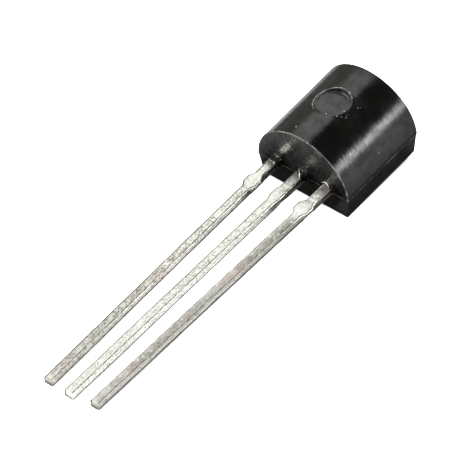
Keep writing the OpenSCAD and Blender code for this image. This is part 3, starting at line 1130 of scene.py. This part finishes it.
WHOLE = (-13.6, -1.0)  # the stretch of X from a lead's tip to its neck
SCRAPED = (-13.6, -5.5)  # where copper shows through the collector's sides
STAIN_AT = (0.0, -1.42, 0.2)
NECK_FILM = (0.13, 0.13, 0.12)

# Dark partly as painted shade along the leads' lower edges, and as painted reflection along their top
# corners.
corner_tin = burr("tin_corner", (0.080, 0.080, 0.065), (0.19, 0.19, 0.16))
edge_shade_tin = burr("tin_edge", (0.032, 0.032, 0.024), (0.10, 0.10, 0.085))
ridge_reflection_tin = burr("tin_ridge", (0.08, 0.08, 0.065), (0.27, 0.27, 0.24))
pale_corner = burr("tin_pale_corner", (0.15, 0.15, 0.13), (0.34, 0.34, 0.30))
base_top = tin(
    "tin_base", (0.89, 0.89, 0.825), 0.22, [(-8.5, -2.0, 0.80), (-2.0, -1.1, 0.4), (-13.6, -8.5, 0.50)],
    neck=NECK_FILM,
)
emitter_cut = cut_copper("cut_emitter", (0.50, 0.48, 0.44), (0.19, 0.18, 0.16))

# Each lead's finishes, in this order: top, burnished side, broken side, round corner, lower edges,
# ridge, cut tip, and the rim and the lip of the tip.
collector = [
    tin("tin_collector", (0.91, 0.90, 0.82), 0.24,
        [(-10.0, -1.9, 1.3), (-1.9, -0.7, 0.5), (-13.6, -10.0, 1.0)],
        matte=[(-13.6, -9.6, 0.50), (-9.6, -7.0, 0.30)], copper=[(-9.0, -5.5, 0.6), (-13.6, -12.0, 0.6)]),
    tin("tin_collector_side", (0.90, 0.89, 0.84), 0.17, [(*WHOLE, 1.0)], matte=[(-13.6, -9.6, 0.75)],
        copper=[(*SCRAPED, 1.0)], streak=0.66, pits=0.60),
    tin("tin_collector_break", (0.72, 0.71, 0.66), 0.28, [(*WHOLE, 1.0)], matte=[(-13.6, -8.0, 0.5)],
        copper=[(*SCRAPED, 1.0)], streak=0.52, pits=0.85),
    corner_tin,
    edge_shade_tin,
    ridge_reflection_tin,
    cut_copper("cut_collector", (0.84, 0.77, 0.74), (0.13, 0.11, 0.105)),
    pale_corner,
    edge_shade_tin,
]
base = [
    base_top,
    tin("tin_base_side", (0.95, 0.95, 0.89), 0.16, [(*WHOLE, 0.8)], streak=0.84, pits=0.30),
    tin("tin_base_break", (0.93, 0.93, 0.87), 0.24, [(*WHOLE, 0.9)], streak=0.78, pits=0.50),
    corner_tin,
    edge_shade_tin,
    ridge_reflection_tin,
    cut_copper("cut_base", (0.90, 0.90, 0.83), (0.62, 0.62, 0.56)),
    base_top,
    corner_tin,
]
emitter = [
    tin("tin_emitter", (0.97, 0.96, 0.91), 0.25, [(-13.6, -7.0, 0.75)],
        matte=[(-5.6, -2.15, 1.0), (-11.9, -5.6, 0.78), (-13.7, -11.9, 0.5)], copper=[(-12.5, -5.0, 0.8)],
        stain=STAIN_AT, neck=NECK_FILM, bright_edge=EMITTER),
    tin("tin_emitter_side", (0.80, 0.79, 0.74), 0.24, [(*WHOLE, 0.5)],
        stain=STAIN_AT, streak=0.72, pits=0.60),
    tin("tin_emitter_break", (0.22, 0.215, 0.19), 0.40, [(*WHOLE, 0.9)],
        stain=STAIN_AT, streak=0.45, pits=0.60),
    pale_corner,
    edge_shade_tin,
    corner_tin,
    emitter_cut,
    emitter_cut,
    edge_shade_tin,
]
build_lead(COLLECTOR, "collector_lead_tinned", "collector_lead", collector, 0.05, 0.74)
build_lead(BASE, "base_lead_tinned", "base_lead", base, 0.03, 0.54)
build_lead(EMITTER, "emitter_lead_tinned", "emitter_lead", emitter, 0.09, 0.72)
build_bleed(end_resin)
build_slivers(sliver_tin())
build_specks(dust(), wear_and_highlight_resin)

# The emitter wire keeps the frame's own plain gold, which has the name gold already.
inner = {
    "die": plain_metal("silicon", (0.28, 0.31, 0.37), 0.12, 0.10),
    "die_attach": plain_metal("solder", (0.58, 0.57, 0.54), 0.35, 0.03),
    "base_wire": plain_metal("gold", (0.95, 0.70, 0.28), 0.20, 0.03),
    "emitter_wire": bpy.data.materials["gold"],
}
for node, material in inner.items():
    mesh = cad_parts[node].data
    mesh.materials.clear()
    mesh.materials.append(material)

build_world()
build_floor()
build_overhead()
build_camera()
bpy.context.scene.view_settings.view_transform = "Standard"
